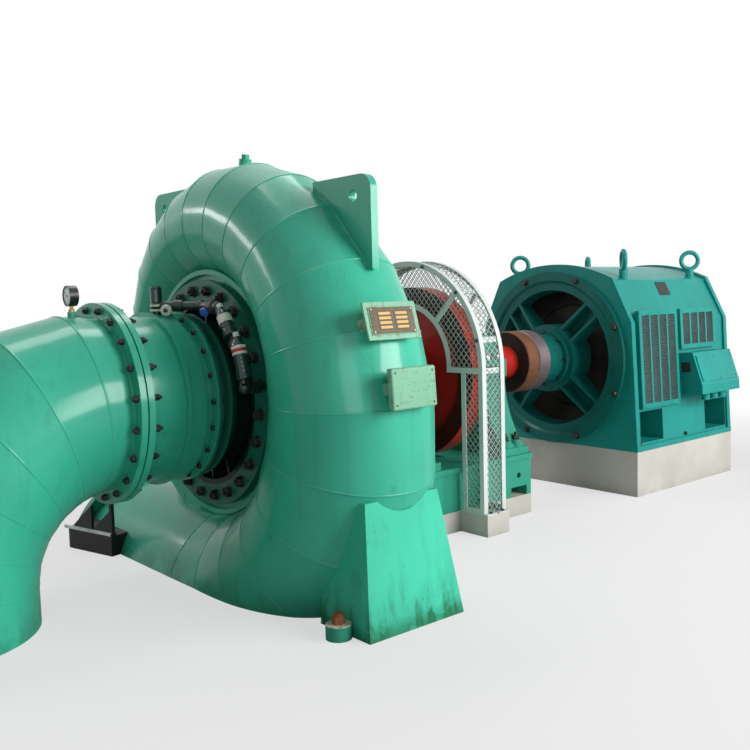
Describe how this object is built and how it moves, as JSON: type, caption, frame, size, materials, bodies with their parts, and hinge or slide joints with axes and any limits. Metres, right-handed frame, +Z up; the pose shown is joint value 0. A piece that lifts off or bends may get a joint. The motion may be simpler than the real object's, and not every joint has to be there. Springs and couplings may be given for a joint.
{
  "type": "hydroelectric generator",
  "caption": "Horizontal hydroelectric set: a spiral-case turbine with a mitred draft elbow drives a generator through a guarded flywheel and coupling.",
  "frame": {"origin": "on the floor straight below the middle of the spiral case", "axes": "+X along the shaft from the turbine to the generator, +Z up, -Y towards the leg and the terminal box"},
  "size_m": [5.002, 2.043, 1.7313],
  "materials": {
    "turbine_green": "satin green paint",
    "generator_teal": "satin teal paint",
    "red_paint": "red paint",
    "coupling_brown": "rusty brown machined iron",
    "coupling_grey": "dull grey machined steel",
    "bare_steel": "machined steel",
    "black_iron": "black iron",
    "gasket_black": "black joint",
    "brass": "brass",
    "gauge_case": "black case with a pale dial",
    "guard_white": "white and grey paint",
    "mesh_grey": "grey mesh",
    "concrete": "smooth pale concrete",
    "core_dark": "dark lamination",
    "pipe_green": "dark green pipe"
  },
  "bodies": {
    "set": {"spiral_case": "turbine_green", "inlet_flange": "turbine_green", "inlet_saddle": "black_iron", "head_cover_ring": "turbine_green", "draft_cone": "turbine_green", "flange_gasket": "gasket_black", "elbow_flange": "turbine_green", "draft_elbow": "turbine_green", "gauge_stem": "brass", "pressure_gauge": "gauge_case", "case_leg": "turbine_green", "anchor_bosses": "turbine_green", "lifting_lug_front": "turbine_green", "lifting_lug_rear": "turbine_green", "crown_plug": "turbine_green", "rating_plate": "turbine_green", "side_hatch": "turbine_green", "seal_pipe": "pipe_green", "drive_cover": "turbine_green", "bearing_plinth": "concrete", "bearing_base": "turbine_green", "pedestal_turbine": "turbine_green", "pedestal_generator": "turbine_green", "guard_frame_turbine": "guard_white", "guard_frame_generator": "guard_white", "guard_ties": "guard_white", "guard_mesh_turbine": "mesh_grey", "guard_mesh_generator": "mesh_grey", "guard_rim_mesh": "mesh_grey", "guard_leg_mesh": "mesh_grey", "generator_plinth": "concrete", "generator_frame": "generator_teal", "end_bracket_front": "generator_teal", "end_bracket_rear": "generator_teal", "rear_bearing_cap": "generator_teal", "stator_core": "core_dark", "lifting_eyes": "generator_teal", "air_grille_tall": "generator_teal", "air_grille_short": "generator_teal", "terminal_box": "generator_teal"},
    "rotor": {"turbine_shaft": "red_paint", "flywheel": "red_paint", "coupling_turbine": "coupling_brown", "coupling_generator": "coupling_grey", "coupling_pins": "bare_steel", "generator_rotor": "core_dark", "generator_shaft": "bare_steel"}
  },
  "joints": [
    {"name": "rotor_turn", "type": "hinge", "parent": "set", "child": "rotor", "pos_m": [1.1, 0, 0.75], "axis": [1, 0, 0], "continuous": true}
  ]
}
